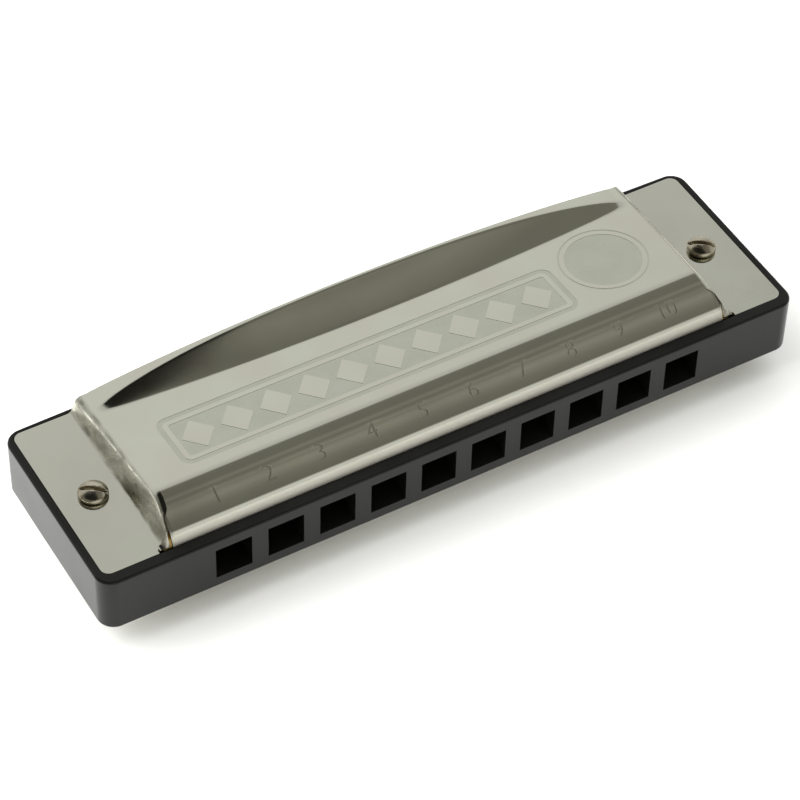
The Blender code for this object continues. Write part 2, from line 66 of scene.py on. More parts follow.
def hole_x(hole):
    """Middle of a mouth hole, where its reeds lie too."""
    low, high = cad_box(f"blow_reed_{hole}")
    return (low.x + high.x) / 2


# Places read from the frame
COMB_LOW, COMB_HIGH = cad_box("comb")
COVER_LOW, COVER_HIGH = cad_box("upper_cover")
PLATE_LOW, PLATE_HIGH = cad_box("upper_reed_plate")
MID_Z = (COMB_LOW.z + COMB_HIGH.z) / 2
FACE = COMB_HIGH.z - MID_Z             # comb's face over its middle plane
HOLES = range(1, 11)
KINDS = {"blow": PLATE_LOW.z, "draw": 2 * MID_Z - PLATE_HIGH.z}    # lower face of each kind's plate

# Comb
HOLE_WIDTH = 5.06
HOLE_ROOF = 0.36
SIDE_GAP = 0.1
SEAT_GAP = 0.05
CORNER_RADIUS = 2.3
REAR_BOW = 0.5
COMB_EDGE = 0.38
MOUTH_EDGE = 0.1
CHAMBER_DRAFT = 0.07
CHAMBER_FILLET = 0.8
HEEL_INSET = 0.3
CHAMBER_TIP = 1.6
BORE_GAP = 0.15                        # radial, round a cover screw

# Covers, heights counted from the comb's face
SHEET = 0.35
SHEET_BREAK = 0.06                     # rounding of the sheet's cut edges
LIP_Y = COVER_LOW.y
COVER_REAR = PLATE_HIGH.y + SIDE_GAP
TAB_END = COVER_HIGH.x
BOX_MARGIN = 6.0                       # from the outer wall of an end hole to the foot of the end wall
FOOT_X = (hole_x(10) - hole_x(1) + HOLE_WIDTH) / 2 + BOX_MARGIN
WALL_LEAN = 0.4
TAB_SINK = 0.03
TAB_CORNER = 1.2
FOOT_RADIUS = 0.8
CROWN_RADIUS = 1.0
LIP_FOOT = -0.3                        # height at which the lip starts to lean back
LIP_FOOT_RADIUS = 0.25
LIP_RISE = 1.6
LIP_SETBACK = 0.71
LIP_RADIUS = 1.5
CREASE_RISE = 4.12
CREASE_SETBACK = 4.8
CREASE_Y = LIP_Y + CREASE_SETBACK
CREASE_RADIUS = 5.0
BAND_CROWN = 0.06                      # swell of the slope between lip and crease
REAR_RISE = 2.35
TOP_FALL = (CREASE_RISE - REAR_RISE) / (COVER_REAR - CREASE_Y)
ARCH_RISE = 2.46
ARCH_HOLLOW = 0.15                     # how much less the arch rises at first
FOLD_DEPTH = 5.7                       # from the arch's fold to the rear edge, in the middle
FOLD_BOW = 1.5
FOLD_SOFT = 0.28                       # half width of the fold's bend
RIM_DEPTH = 0.5                        # level rim behind the arch, in the middle
RIM_BOW = 2.6
FOLD_INSET = 2.2                       # from the foot of the end wall to the tip of the fold
FOLD_TIP = FOOT_X - FOLD_INSET
SLIT_START = 0.45                      # the slope's ends are sheared from this share of it, from the crease
SLIT_WIDTH = 0.22
SLIT_LEAST = 0.12                      # from the crown to the column of faces that is sheared away
NOTCH = (0.25, 0.6)                    # relief cut in a tab, beside the foot of its wall
WALL_SETBACK = 0.35                    # how far an end wall's front stays behind the lip
LEAST_CROWN = 0.06                     # share of the crown's radius that is left at the lip
TAB_COLUMNS = 8                        # columns of points across a tab

# Reed plates
PLATE_EDGE = 0.08
SLOT_SIDE = 0.1                        # gap beside a tongue
SLOT_TIP = 0.25                        # gap before its tip
SLOT_CORNER = 0.15

# Reeds, rivets, screws and nuts
REED_WIDTH = 2.1
HEEL_WIDTH = 2.9
HEEL_LENGTH = 2.9
HEEL_STEP = 0.12                       # length of the rise from the tongue to the heel's seat
HEEL_CHAMFER = (0.38, 0.25)            # length and width cut off the heel's end
HEEL_GAP = 0.01                        # under the plate
REED_OFFSET = 0.25                     # from a tongue to its plate
REED_THICKNESS = 0.2
MILLED_DEPTH = 0.07                    # how much thinner a tongue is in its middle
ROOT_TAPER = 0.6
RIVET_SETBACK = 1.4
RIVET_HEAD_RADIUS = 0.9
RIVET_RADIUS = 0.5
UPSET_RADIUS = 0.7
SCREW_HEAD_RADIUS = 1.95
SCREW_HEAD_HEIGHT = 1.3
SCREW_RADIUS = 1.0
SCREW_SLOT = (0.62, 0.72)              # width and depth
SLOT_TURN = -35.0                      # degrees from X to the cover screws' slots
THREAD_LENGTH = 3.2
THREAD_PITCH = 0.4
THREAD_DEPTH = 0.17
NUT_FLATS = 4.0                        # across flats
SMALL_HEAD_RADIUS = 1.05               # of the plates' screws
SMALL_HEAD_HEIGHT = 0.5
SMALL_SHANK_RADIUS = 0.45
SMALL_SLOT = (0.3, 0.25)

# Marks on the upper cover
MARK_DEPTH = 0.03
NUMERAL_HEIGHT = 2.3
NUMERAL_SHARE = 0.73                   # height of a numeral as a share of the font's size
NUMERAL_THINNING = -0.035
PANEL = (-34.6, -5.0, 23.4, 4.2)       # left, front, right and rear
PANEL_CORNER = 1.6
PANEL_BORDER = 0.7                     # width of the frosted border, and of the bright line inside it
CORE_CORNER = 0.4
LOZENGES = 10
LOZENGE_FILL = 0.42                    # half length as a share of the lozenge's place
LOZENGE_REACH = 2.7                    # half depth
RING_PLACE = (30.7, 1.5)
RING_RADIUS = 6.1
RING_LINE = 0.25
RING_GAP = 0.9                         # from the ring's outside to the disc's


def arc_corner(points, radii, steps):
    """A polyline whose inner corners become arcs of the given radii."""
    line = [points[0]]
    for before, corner, after, radius in zip(points, points[1:], points[2:], radii):
        a = (before - corner).normalized()
        b = (after - corner).normalized()
        half = a.angle(b) / 2
        reach = radius / math.tan(half)
        centre = corner + (a + b).normalized() * (radius / math.sin(half))
        start = corner + a * reach - centre
        stop = corner + b * reach - centre
        turn = math.pi - 2 * half
        for step in range(steps + 1):
            part = step / steps
            arc = (start * math.sin((1 - part) * turn) + stop * math.sin(part * turn)) / math.sin(turn)
            line.append(centre + arc)
    line.append(points[-1])
    return line


def spread(first, last, count, ease=0.12):
    """Values between two ends, both left out, that crowd a little towards the ends."""
    inner = [(step + 1) / (count + 1) for step in range(count)]
    eased = [part - ease * math.sin(2 * math.pi * part) for part in inner]
    return [first + (last - first) * part for part in eased]


def placed(name, bm, finish, place=(0, 0, 0), angle=35):
    """Make a finished object of a bmesh given in millimetres, with its place in its mesh."""
    bmesh.ops.translate(bm, vec=Vector(place), verts=bm.verts)
    bmesh.ops.scale(bm, vec=(MM, MM, MM), verts=bm.verts)
    mesh = bpy.data.meshes.new(name)
    bm.to_mesh(mesh)
    bm.free()
    for each in finish if isinstance(finish, (list, tuple)) else [finish]:
        mesh.materials.append(each)
    mesh.shade_smooth()
    mesh.set_sharp_from_angle(angle=math.radians(angle))
    made = bpy.data.objects.new(name, mesh)
    bpy.context.scene.collection.objects.link(made)
    return made


def even_shading(made):
    """Large faces rule the normals, so that flat areas stay flat beside small roundings."""
    made.modifiers.new("even_shading", "WEIGHTED_NORMAL").keep_sharp = True


def outward(bm):
    """Close the seams and turn all faces outward."""
    bmesh.ops.remove_doubles(bm, verts=bm.verts, dist=0.0005)
    bmesh.ops.recalc_face_normals(bm, faces=bm.faces)
    return bm


def block(low, high, corner=0.0, segments=8, bow=0.0, edge=0.0):
    """A slab with round upright corners, round rims, and a rear edge that bows out in the middle."""
    low, high = Vector(low), Vector(high)
    size, middle = high - low, (low + high) / 2
    bm = bmesh.new()
    bmesh.ops.create_grid(bm, x_segments=24 if bow else 1, y_segments=1, size=0.5)
    for vert in bm.verts:
        if vert.co.y > 0:
            vert.co.y -= bow / size.y * (2 * vert.co.x) ** 2
        vert.co = Vector((middle.x + vert.co.x * size.x, middle.y + vert.co.y * size.y, low.z))
    made = bmesh.ops.extrude_face_region(bm, geom=bm.faces[:])["geom"]
    bmesh.ops.translate(bm, vec=(0, 0, size.z), verts=[v for v in made if isinstance(v, bmesh.types.BMVert)])
    inner = [e for e in bm.edges if e.is_manifold and e.calc_face_angle() < 0.001]
    bmesh.ops.dissolve_edges(bm, edges=inner, use_verts=False)
    bmesh.ops.recalc_face_normals(bm, faces=bm.faces)
    if corner:
        upright = [e for e in bm.edges if abs(e.verts[0].co.z - e.verts[1].co.z) > size.z / 2
                   and e.calc_face_angle() > math.radians(60)]
        bmesh.ops.bevel(bm, geom=upright, offset=corner, segments=segments, profile=0.5,
                        affect="EDGES", material=-1)
    if edge:
        rims = [e for e in bm.edges if abs(e.verts[0].co.z - e.verts[1].co.z) < 0.001
                and e.calc_face_angle() > math.radians(60)]
        bmesh.ops.bevel(bm, geom=rims, offset=edge, segments=4, profile=0.5, affect="EDGES", material=-1)
    return bm


def merged(parts):
    """One bmesh of several; the parts are used up."""
    whole = bmesh.new()
    for part in parts:
        mesh = bpy.data.meshes.new("part")
        part.to_mesh(mesh)
        part.free()
        whole.from_mesh(mesh)
        bpy.data.meshes.remove(mesh)
    return whole


def rod(x, y, low, high, radius, sides=24):
    """An upright cylinder, or a prism when it has few sides."""
    bm = bmesh.new()
    bmesh.ops.create_cone(bm, cap_ends=True, segments=sides, radius1=radius, radius2=radius,
                          depth=high - low, matrix=Matrix.Translation((x, y, (low + high) / 2)))
    return bm


def screw_bores(low, high):
    """Cutters for the two cover screws."""
    bores = []
    for side in ("left", "right"):
        a, b = cad_box(f"cover_screw_{side}")
        bores.append(rod((a.x + b.x) / 2, (a.y + b.y) / 2, low, high, SCREW_RADIUS + BORE_GAP))
    return bores


def dome(radius, base, height, steps):
    """Profile of a quarter ellipse, from its top on the axis down to its rim at the base."""
    angles = [math.pi / 2 * step / steps for step in range(steps + 1)]
    return [(radius * math.sin(angle), base + height * math.cos(angle)) for angle in angles]


def turned(profile, sides=32):
    """A solid of revolution about Z from (radius, height) points that start and end on the axis."""
    bm = bmesh.new()
    verts = [bm.verts.new((radius, 0, height)) for radius, height in profile]
    edges = [bm.edges.new(pair) for pair in zip(verts, verts[1:])]
    bmesh.ops.spin(bm, geom=verts + edges, cent=(0, 0, 0), axis=(0, 0, 1), angle=2 * math.pi,
                   steps=sides, use_merge=True)
    return outward(bm)


def read_back(made):
    """The shape of an object with its modifiers, as a bmesh; the object is removed."""
    graph = bpy.context.evaluated_depsgraph_get()
    bm = bmesh.new()
    bm.from_mesh(made.evaluated_get(graph).to_mesh())
    data = made.data
    bpy.data.objects.remove(made, do_unlink=True)
    kept_in = bpy.data.meshes if isinstance(data, bpy.types.Mesh) else bpy.data.curves
    kept_in.remove(data)
    return bm


def carved(solid, cutter, finish=None):
    """Cut one closed bmesh from another; the cut's walls take the cutter's place in the material list.

    The solver is MANIFOLD, because EXACT needs far too much memory on the finely drawn cover sheet.
    """
    objects = []
    for number, bm in enumerate((solid, cutter)):
        mesh = bpy.data.meshes.new("carving")
        bm.to_mesh(mesh)
        bm.free()
        for each in finish or ():
            mesh.materials.append(each)
        made = bpy.data.objects.new(f"carving_{number}", mesh)
        bpy.context.scene.collection.objects.link(made)
        objects.append(made)
    boolean = objects[0].modifiers.new("carve", "BOOLEAN")
    boolean.operation = "DIFFERENCE"
    boolean.solver = "MANIFOLD"
    boolean.object = objects[1]
    left, used = [read_back(made) for made in objects]
    used.free()
    bmesh.ops.dissolve_degenerate(left, edges=left.edges, dist=0.0005)
    return left


# ---------------------------------------------------------------- materials


def linear(hexcode):
    """An sRGB hex colour as linear red, green, blue and alpha."""
    parts = [int(hexcode[start:start + 2], 16) / 255 for start in (1, 3, 5)]
    return (*[p / 12.92 if p <= 0.04045 else ((p + 0.055) / 1.055) ** 2.4 for p in parts], 1.0)


def node(tree, kind, settings=None, **inputs):
    """Add a node, set its properties, and set or link its inputs by name or number."""
    made = tree.nodes.new(kind)
    for key, value in (settings or {}).items():
        setattr(made, key, value)
    for key, value in inputs.items():
        socket = made.inputs[int(key[1:]) if key[0] == "i" and key[1:].isdigit() else key.replace("_", " ")]
        if isinstance(value, bpy.types.NodeSocket):
            tree.links.new(value, socket)
        else:
            socket.default_value = value
    return made


def finish(name, **values):
    """A material with a Principled shader; returns it with its tree, shader and Object coordinates."""
    made = bpy.data.materials.new(name)
    made.use_nodes = True
    tree = made.node_tree
    shader = tree.nodes["Principled BSDF"]
    for key, value in values.items():
        shader.inputs[key.replace("_", " ")].default_value = value
    place = node(tree, "ShaderNodeTexCoord").outputs["Object"]
    return made, tree, shader, place


def ramp(tree, value, low, high, start=0.0, stop=1.0):
    """Start where the value is at low, stop where it is at high, even in between."""
    return node(tree, "ShaderNodeMapRange", Value=value, From_Min=low, From_Max=high, To_Min=start,
                To_Max=stop).outputs["Result"]


def times(tree, first, second):
    """Product of two values."""
    return node(tree, "ShaderNodeMath", {"operation": "MULTIPLY"}, i0=first, i1=second).outputs[0]


def between(tree, share, first, second):
    """The first value where share is 0 and the second where it is 1."""
    return node(tree, "ShaderNodeMix", {"data_type": "FLOAT"}, Factor=share, A=first, B=second).outputs[0]


def mixed(tree, share, first, second):
    """The same for colours."""
    return node(tree, "ShaderNodeMix", {"data_type": "RGBA"}, i0=share, i6=first, i7=second).outputs[2]


def brushed(tree, place, stretch, scale, detail=3.0):
    """Noise drawn out along one axis, for rolling, brushing or milling marks."""
    along = node(tree, "ShaderNodeMapping", Vector=place, Scale=stretch).outputs["Vector"]
    return node(tree, "ShaderNodeTexNoise", Vector=along, Scale=scale, Detail=detail).outputs[0]


def bumped(tree, shader, height, distance, strength):
    """Relief in the shading only; the distance is its depth in metres."""
    bump = node(tree, "ShaderNodeBump", Height=height, Distance=distance, Strength=strength)
    tree.links.new(bump.outputs["Normal"], shader.inputs["Normal"])


def make_steel():
    """Stainless sheet, cold rolled bright and pressed.

    Reads as a soft mirror: rolling lines along X about 0.15 mm apart, fingertip smears some 8 mm wide,
    rougher end walls where the die drew the sheet down, their colour darkened in patches as painted shade,
    and a front lip made rougher, as if dulled by use, with its colour darkened as painted shade.
    """
    made, tree, shader, place = finish("pressed_stainless_steel", Metallic=1.0)
    parts = node(tree, "ShaderNodeSeparateXYZ", Vector=place).outputs
    side = node(tree, "ShaderNodeMath", {"operation": "ABSOLUTE"}, i0=parts["X"]).outputs[0]
    # Masks by place: within the feet of the end walls, on the walls, and on the lip
    inside = ramp(tree, side, (FOOT_X + 0.2) * MM, (FOOT_X - 0.1) * MM)
    wall = times(tree, ramp(tree, side, (FOOT_X - 1.7) * MM, (FOOT_X - 1.3) * MM), inside)
    front = ramp(tree, parts["Y"], (LIP_Y + 0.85) * MM, (LIP_Y + 0.45) * MM)
    lip = times(tree, front, inside)
    # Noise of scale 6000 per metre gives lines 0.15 mm apart, 120 smears of 8 mm and 1800 rubs of 0.5 mm
    lines = brushed(tree, place, (0.02, 1.0, 0.2), 6000.0)
    smear = node(tree, "ShaderNodeTexNoise", Vector=place, Scale=120.0, Detail=2.0).outputs[0]
    rub = brushed(tree, place, (1.0, 0.25, 0.25), 1800.0, 4.0)
    dull = ramp(tree, rub, 0.35, 0.7, 0.22, 0.5)
    gloss = ramp(tree, smear, 0.3, 0.7, 0.08, 0.12)
    rough = between(tree, lip, between(tree, wall, gloss, dull), 0.42)
    tree.links.new(rough, shader.inputs["Roughness"])
    tint = mixed(tree, ramp(tree, smear, 0.35, 0.65), linear("#CFD0C1"), linear("#CDCBBE"))
    # Painted shade: the end walls' colour is darkened towards #8A877A, in patches that follow the rub noise.
    wall_painted_shade = times(tree, wall, ramp(tree, rub, 0.4, 0.65, 0.2, 0.75))
    # Painted shade: the lip's colour is darkened to #C4C1B5, and the lip is also made rougher.
    tint = mixed(tree, lip, mixed(tree, wall_painted_shade, tint, linear("#8A877A")), linear("#C4C1B5"))
    tree.links.new(tint, shader.inputs["Base Color"])
    wave = node(tree, "ShaderNodeMath", {"operation": "MULTIPLY_ADD"}, i0=smear, i1=0.6, i2=lines)
    bumped(tree, shader, wave.outputs[0], 0.00002, 0.12)
    return made


def make_etched():
    """The same sheet where it is etched: a fine frosted grain, drawn at 0.1 mm so that it shows."""
    made, tree, shader, place = finish("etched_stainless_steel", Metallic=1.0)
    grain = node(tree, "ShaderNodeTexNoise", Vector=place, Scale=9000.0, Detail=2.0).outputs[0]
    cloud = node(tree, "ShaderNodeTexNoise", Vector=place, Scale=300.0, Detail=2.0).outputs[0]    # 3 mm
    tree.links.new(ramp(tree, grain, 0.3, 0.7, 0.22, 0.28), shader.inputs["Roughness"])
    tint = mixed(tree, ramp(tree, cloud, 0.3, 0.7), linear("#C9CBBC"), linear("#C4C6B6"))
    tree.links.new(tint, shader.inputs["Base Color"])
    bumped(tree, shader, grain, 0.00001, 0.25)
    return made


def make_plastic():
    """Injection moulded black ABS: glossy, with a ripple some 2 mm wide and rubbed patches of about 10 mm.

    Its top face, which lies on the bench and in the hand, is rubbed to satin.
    """
    made, tree, shader, place = finish("moulded_black_abs", IOR=1.46, Specular_IOR_Level=0.27)
    # Noise of scale 500 per metre gives a ripple of 2 mm, and 90 gives patches of 11 mm
    ripple = node(tree, "ShaderNodeTexNoise", Vector=place, Scale=500.0, Detail=2.0).outputs[0]
    rub = node(tree, "ShaderNodeTexNoise", Vector=place, Scale=90.0, Detail=4.0).outputs[0]
    height = node(tree, "ShaderNodeSeparateXYZ", Vector=place).outputs["Z"]
    flat = ramp(tree, height, (COMB_HIGH.z - 0.02) * MM, (COMB_HIGH.z - 0.005) * MM)
    gloss = ramp(tree, rub, 0.35, 0.7, 0.15, 0.26)
    tree.links.new(between(tree, flat, gloss, 0.6), shader.inputs["Roughness"])
    tint = mixed(tree, ramp(tree, rub, 0.35, 0.7), linear("#0E0E0C"), linear("#151513"))
    tree.links.new(tint, shader.inputs["Base Color"])
    bumped(tree, shader, ripple, 0.00002, 0.12)
    return made


def make_metal(name, colours, rough, stretch, scale, depth):
    """A worked metal whose marks run one way: colours and roughness vary with the marks and with tarnish.

    Tarnish spots are about 4 mm wide (scale 260 per metre); scale gives the marks' number per metre.
    """
    made, tree, shader, place = finish(name, Metallic=1.0)
    marks = brushed(tree, place, stretch, scale)
    stain = node(tree, "ShaderNodeTexNoise", Vector=place, Scale=260.0, Detail=3.0).outputs[0]
    tree.links.new(ramp(tree, marks, 0.3, 0.7, *rough), shader.inputs["Roughness"])
    tint = mixed(tree, ramp(tree, stain, 0.35, 0.7), linear(colours[0]), linear(colours[1]))
    tree.links.new(tint, shader.inputs["Base Color"])
    bumped(tree, shader, marks, depth, 0.3)
    return made


STEEL = make_steel()
ETCHED = make_etched()
PLASTIC = make_plastic()
# Nickel plating on a turned screw: bright, slightly yellow, with fine turning marks 0.1 mm apart
NICKEL = make_metal("bright_nickel_plate", ("#D2CCBA", "#A39A84"), (0.14, 0.3), (1, 1, 3), 4000.0, 0.00001)
# Rolled brass sheet: satin lines along X, browned a little by breath
PLATE_BRASS = make_metal("rolled_brass_sheet", ("#DDBE7C", "#B5904F"), (0.24, 0.4), (0.03, 1, 1), 7000.0,
                         0.00001)
# Reed brass: milled across the tongue, redder and brighter than the plate
REED_BRASS = make_metal("milled_reed_brass", ("#E3BC82", "#C2935A"), (0.2, 0.36), (0.05, 1, 1), 9000.0,
                        0.00002)


def stand_for(piece, cad_node, body="root"):
    """The piece hides its CAD node and, when a body is given, rides on it."""
    if body:
        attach(piece, body)
    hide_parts(cad_node)
    return piece


# ---------------------------------------------------------------- comb


def make_comb():
    """Moulded body with sunk seats, ten chambers and ten square mouth holes."""
    floor = PLATE_LOW.z - SEAT_GAP - MID_Z
    seat_low = Vector((COVER_LOW.x - SIDE_GAP, COVER_LOW.y - SIDE_GAP, floor))
    seat_high = Vector((COVER_HIGH.x + SIDE_GAP, PLATE_HIGH.y + 2 * SIDE_GAP, 2 * FACE))
    corner = TAB_CORNER + SIDE_GAP
    body = block((COMB_LOW.x, COMB_LOW.y, -FACE), (COMB_HIGH.x, COMB_HIGH.y, FACE), CORNER_RADIUS, 16,
                 REAR_BOW, COMB_EDGE)
    body = carved(body, block(seat_low, seat_high, corner))
    seat_low.z, seat_high.z = -2 * FACE, -floor
    body = carved(body, block(seat_low, seat_high, corner))
    chambers, mouths = [], []
    heel_front = cad_box("blow_reed_1")[0].y
    for hole in HOLES:
        middle = hole_x(hole)
        half = HOLE_WIDTH / 2 + CHAMBER_DRAFT
        tip = max(cad_box(f"{kind}_reed_{hole}")[1].y for kind in KINDS)
        chambers.append(block((middle - half, heel_front - HEEL_INSET, -2 * FACE),
                              (middle + half, tip + CHAMBER_TIP, 2 * FACE), CHAMBER_FILLET, 5))
        rise = floor - HOLE_ROOF
        mouths.append(block((middle - HOLE_WIDTH / 2, COMB_LOW.y - HOLE_WIDTH, -rise),
                            (middle + HOLE_WIDTH / 2, heel_front + 0.5, rise)))
    for cutters in (chambers, mouths, screw_bores(-2 * FACE, 2 * FACE)):
        body = carved(body, merged(cutters))
    rims = []
    for edge in body.edges:
        if edge.is_manifold and edge.calc_face_angle() > math.radians(60):
            spot = [vert.co for vert in edge.verts]
            front = all(abs(co.y - COMB_LOW.y) < 0.01 for co in spot)
            level = all(abs(abs(co.z) - FACE) < 0.01 for co in spot)
            if front or level:
                rims.append(edge)
    bmesh.ops.bevel(body, geom=rims, offset=MOUTH_EDGE, segments=2, profile=0.5, affect="EDGES",
                    material=-1, clamp_overlap=True)
    comb = placed("moulded_comb", body, PLASTIC, (0, 0, MID_Z))
    even_shading(comb)
    return stand_for(comb, "comb")


# ---------------------------------------------------------------- covers


def top_rise(y):
    """Height of the panel, which falls a little towards the rear."""
    return CREASE_RISE - TOP_FALL * (y - CREASE_Y)


def fold_y(x):
    """Where the panel ends and the arch begins."""
    return COVER_REAR - FOLD_DEPTH + FOLD_BOW * min(abs(x) / FOLD_TIP, 1) ** 2


def rim_y(x):
    """Where the arch ends and the level rim begins."""
    return COVER_REAR - RIM_DEPTH - RIM_BOW * min(abs(x) / FOLD_TIP, 1) ** 3.6


def arch_rise(x):
    """Full rise of the arch, highest in the middle."""
    return ARCH_RISE * (1 - min(abs(x) / FOLD_TIP, 1) ** 2) ** 0.85


def ease(distance, width):
    """Zero, then a straight rise, with a soft start of the given half width."""
    if distance <= -width:
        return 0.0
    if distance >= width:
        return distance
    return (distance + width) ** 2 / (4 * width)


def arch_lift(x, y):
    """Rise of the arch over the sloping top."""
    if abs(x) >= FOLD_TIP:
        return 0.0
    start, depth = fold_y(x), rim_y(x) - fold_y(x)
    share = (ease(y - start, FOLD_SOFT) - ease(y - start - depth, FOLD_SOFT)) / depth
    return arch_rise(x) * share * (1 - ARCH_HOLLOW * (1 - share))


def across(rise, share):
    """One section of the cover from the left tab to the right: (x, rise) points, and how many are left of
    the level middle.

    share runs from 0 at the crease to 1 at the lip's upper edge; the crown sharpens on the way.
    """
    crown = CROWN_RADIUS * max(1 - share / SLIT_START, LEAST_CROWN)
    crown_x = FOOT_X - WALL_LEAN * (rise + TAB_SINK)
    corners = [Vector((-TAB_END, -TAB_SINK)), Vector((-FOOT_X, -TAB_SINK)), Vector((-crown_x, rise)),
               Vector((0, rise))]
    line = arc_corner(corners, (FOOT_RADIUS, crown), 6)
    foot, wall = line[1:8], line[8:15]
    notch = foot[0].x - NOTCH[0]
    tab = [-TAB_END] + spread(-TAB_END, notch, TAB_COLUMNS - 2) + [notch]
    left = [Vector((x, -TAB_SINK)) for x in tab] + foot
    low, high = foot[-1], wall[0]
    left += [low.lerp(high, (step + 1) / 6) for step in range(5)] + wall
    slit = wall[-1].x + SLIT_WIDTH * max((share - SLIT_START) / (1 - SLIT_START), 0) + SLIT_LEAST
    left.append(Vector((slit, rise)))
    level = [Vector((x, rise)) for x in spread(slit, -slit, 70, 0.08)]
    right = [Vector((-point.x, point.y)) for point in reversed(left)]
    return left + level + right, len(left)


def lengthwise():
    """(y, rise, share, zone) of each section from the lip's lower edge to the arch's fold."""
    floor = PLATE_LOW.z - SEAT_GAP - MID_Z
    corners = [Vector((LIP_Y, floor + 2 * SEAT_GAP - FACE)), Vector((LIP_Y, LIP_FOOT)),
               Vector((LIP_Y + LIP_SETBACK, LIP_RISE)), Vector((CREASE_Y, CREASE_RISE)),
               Vector((COVER_REAR, REAR_RISE))]
    line = arc_corner(corners, (LIP_FOOT_RADIUS, LIP_RADIUS, CREASE_RADIUS), 7)
    lip, crease = line[:17], line[17:25]
    rows = [(point.x, point.y, 1.0, "lip") for point in lip[:1]]
    rows += [(LIP_Y, y, 1.0, "lip") for y in spread(lip[0].y, lip[1].y, 2)]
    rows += [(point.x, point.y, 1.0, "lip") for point in lip[1:9]]
    low, high = lip[8], lip[9]
    rows += [(low.lerp(high, part).x, low.lerp(high, part).y, 1.0, "lip") for part in spread(0, 1, 4)]
    rows += [(point.x, point.y, 1.0, "lip") for point in lip[9:16]]
    start, stop = lip[16], crease[0]
    for part in [0.0] + spread(0, 1, 14) + [1.0]:
        point = start.lerp(stop, part)
        rows.append((point.x, point.y + 4 * BAND_CROWN * part * (1 - part), 1 - part, "slope"))
    rows += [(point.x, point.y, 0.0, "top") for point in crease[1:]]
    return rows


def front_lines():
    """Lines of points across the cover from the lip's lower edge to the crease, and each line's zone.

    In the lip's zone the middle hangs down in front, while tabs and wall feet run level to its foot.
    """
    rows = lengthwise()
    front, lowest = next((y, rise) for y, rise, _, zone in rows if zone == "slope")
    lip_rows = sum(zone == "lip" for _, _, _, zone in rows)
    lines, zones = [], []
    for y, rise, share, zone in rows:
        points, edge = across(max(rise, lowest), share)
        drop = min(rise - lowest, 0)
        line = [Vector((p.x, y, p.y + drop)) for p in points]
        if zone == "lip":
            part = len(zones) / lip_rows
            for column in range(edge - 1):
                setback = 0 if column < TAB_COLUMNS else WALL_SETBACK
                for point in (line[column], line[-1 - column]):
                    point.y = LIP_Y + setback + (front - LIP_Y - setback) * part
                    point.z = -TAB_SINK + (point.z - drop + TAB_SINK) * part
        lines.append(line)
        zones.append(zone)
    return lines, zones


def rear_lines(last_y):
    """Lines across the cover from the crease to the rear edge; they follow the arch's fold and its rim."""
    steps = (-1, -0.5, 0, 0.5, 1)
    stations = [("fold", part) for part in spread(0, 1, 18, 0.1)] + [("start", part) for part in steps]
    stations += [("arch", part) for part in spread(0, 1, 9)] + [("stop", part) for part in steps]
    stations += [("rim", part) for part in (0.5, 1)]
    lines = []
    for kind, part in stations:
        line = []
        for column, p in enumerate(across(CREASE_RISE, 0.0)[0]):
            start, stop = fold_y(p.x), rim_y(p.x)
            near, far = {"fold": (last_y, start - FOLD_SOFT), "start": (start, start + FOLD_SOFT),
                         "arch": (start + FOLD_SOFT, stop - FOLD_SOFT), "stop": (stop, stop + FOLD_SOFT),
                         "rim": (stop + FOLD_SOFT, COVER_REAR)}[kind]
            y = near + (far - near) * part
            section = across(top_rise(y), 0.0)[0][column]
            line.append(Vector((section.x, y, section.y + arch_lift(section.x, y))))
        lines.append(line)
    return lines


def cover_sheet():
    """The cover's outer face: a fine grid drawn over the pressed shape, open at its sheared corners."""
    lines, zones = front_lines()
    rear = rear_lines(lines[-1][0].y)
    lines, zones = lines + rear, zones + ["top"] * len(rear)
    columns = len(lines[0])
    bm = bmesh.new()
    bmesh.ops.create_grid(bm, x_segments=columns - 1, y_segments=len(lines) - 1, size=0.5)
    verts = sorted(bm.verts, key=lambda v: (round(v.co.y, 6), v.co.x))
    spots = {}
    for number, vert in enumerate(verts):
        row, column = divmod(number, columns)
        point = lines[row][column]
        vert.co = (point.x, point.y, point.z + FACE)
        spots[vert] = (row, min(column, columns - 1 - column))
    sheared = across(CREASE_RISE, 0.0)[1] - 2
    slope_front = lines[zones.index("slope")][0].y
    sheared_from = CREASE_Y + (slope_front - CREASE_Y) * SLIT_START
    gone = []
    for face in bm.faces:
        row = min(spots[vert][0] for vert in face.verts)
        column = min(spots[vert][1] for vert in face.verts)
        parted = zones[row] == "lip" or (zones[row] == "slope" and lines[row][0].y < sheared_from)
        notch = column == TAB_COLUMNS - 1 and face.calc_center_median().y < LIP_Y + NOTCH[1]
        if notch or (parted and column == sheared):
            gone.append(face)
    bmesh.ops.delete(bm, geom=gone, context="FACES")
    bmesh.ops.recalc_face_normals(bm, faces=bm.faces)
    if sum(face.normal.z * face.calc_area() for face in bm.faces) < 0:
        bmesh.ops.reverse_faces(bm, faces=bm.faces)
    return bm


